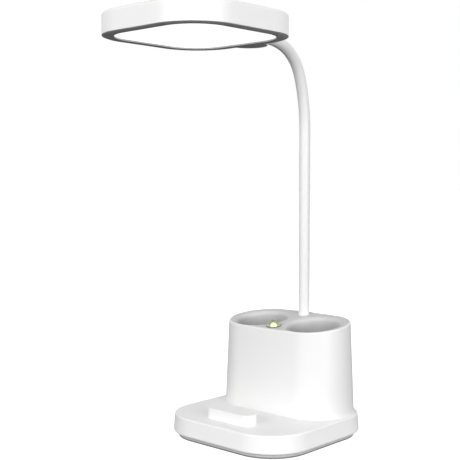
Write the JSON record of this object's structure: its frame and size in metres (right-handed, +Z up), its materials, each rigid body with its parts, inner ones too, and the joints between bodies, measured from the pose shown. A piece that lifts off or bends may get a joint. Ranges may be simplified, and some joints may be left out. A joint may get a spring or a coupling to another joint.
{
  "type": "desk lamp with organiser base",
  "caption": "Desk lamp: square light head on a bendable neck, standing on a rounded square base with pen cups, a phone stop and a small night light.",
  "frame": {"origin": "middle of the base's foot, on the surface that the lamp stands on", "axes": "+Z up, -Y the front, under the light head, +X the lamp's right"},
  "size_m": [0.1402, 0.2241, 0.3585],
  "materials": {
    "white_plastic": "fine satin moulding",
    "deck_plastic": "satin moulding, a shade greyer",
    "dark_plastic": "fine matt grain, dark grey",
    "foot_rubber": "matt non-slip pad",
    "screw_steel": "zinc plated",
    "ballast_steel": "stamped plate",
    "battery_wrap": "foil pouch cell in film",
    "circuit_board": "solder mask",
    "inlet_steel": "drawn shell",
    "ring_chrome": "bright plated ring",
    "clear_lens": "clear moulded dome",
    "phosphor": "yellow phosphor gel",
    "ferrule_steel": "turned and plated",
    "neck_sleeve": "smooth white silicone",
    "hose_steel": "wound hose",
    "opal_diffuser": "opal acrylic, lit",
    "led_board_alu": "white coated aluminium board"
  },
  "bodies": {
    "base": {"ballast_plate": "ballast_steel", "base_shell": "white_plastic", "battery": "battery_wrap", "body_screws": "screw_steel", "body_shell": "white_plastic", "bottom_cover": "dark_plastic", "control_board": "circuit_board", "cover_screws": "screw_steel", "cup_insert": "deck_plastic", "foot_pad": "foot_rubber", "neck_core_0": "hose_steel", "neck_ferrule": "ferrule_steel", "neck_nut": "ferrule_steel", "neck_sleeve_0": "neck_sleeve", "night_light_board": "circuit_board", "night_light_led": "phosphor", "night_light_lens": "clear_lens", "night_light_ring": "ring_chrome", "phone_stop": "white_plastic", "usb_inlet": "inlet_steel"},
    "neck_1": {"neck_sleeve_1": "neck_sleeve", "neck_core_1": "hose_steel"},
    "neck_2": {"neck_sleeve_2": "neck_sleeve", "neck_core_2": "hose_steel"},
    "neck_3": {"neck_sleeve_3": "neck_sleeve", "neck_core_3": "hose_steel"},
    "neck_4": {"neck_sleeve_4": "neck_sleeve", "neck_core_4": "hose_steel"},
    "head": {"neck_sleeve_5": "neck_sleeve", "neck_core_5": "hose_steel", "hub": "white_plastic", "hub_cap": "dark_plastic", "hub_screws": "screw_steel", "head_cover": "white_plastic", "head_bezel": "dark_plastic", "diffuser": "opal_diffuser", "led_board": "led_board_alu", "led_chips": "phosphor", "board_screws": "screw_steel"}
  },
  "joints": [
    {"name": "neck_lean", "type": "hinge", "parent": "base", "child": "neck_1", "pos_m": [0, 0.0539, 0.128], "axis": [0, 1, 0], "range_deg": [-25, 25]},
    {"name": "neck_bend_low", "type": "hinge", "parent": "neck_1", "child": "neck_2", "pos_m": [0, 0.0539, 0.168], "axis": [1, 0, 0], "range_deg": [-20, 25]},
    {"name": "neck_bend_mid", "type": "hinge", "parent": "neck_2", "child": "neck_3", "pos_m": [0, 0.0539, 0.228], "axis": [1, 0, 0], "range_deg": [-25, 25]},
    {"name": "neck_bend_high", "type": "hinge", "parent": "neck_3", "child": "neck_4", "pos_m": [0, 0.05342, 0.28399], "axis": [1, 0, 0], "range_deg": [-30, 30]},
    {"name": "head_turn", "type": "hinge", "parent": "neck_4", "child": "head", "pos_m": [0, 0.01397, 0.34778], "axis": [0, 0.2312, 0.9729], "range_deg": [-30, 30]}
  ]
}
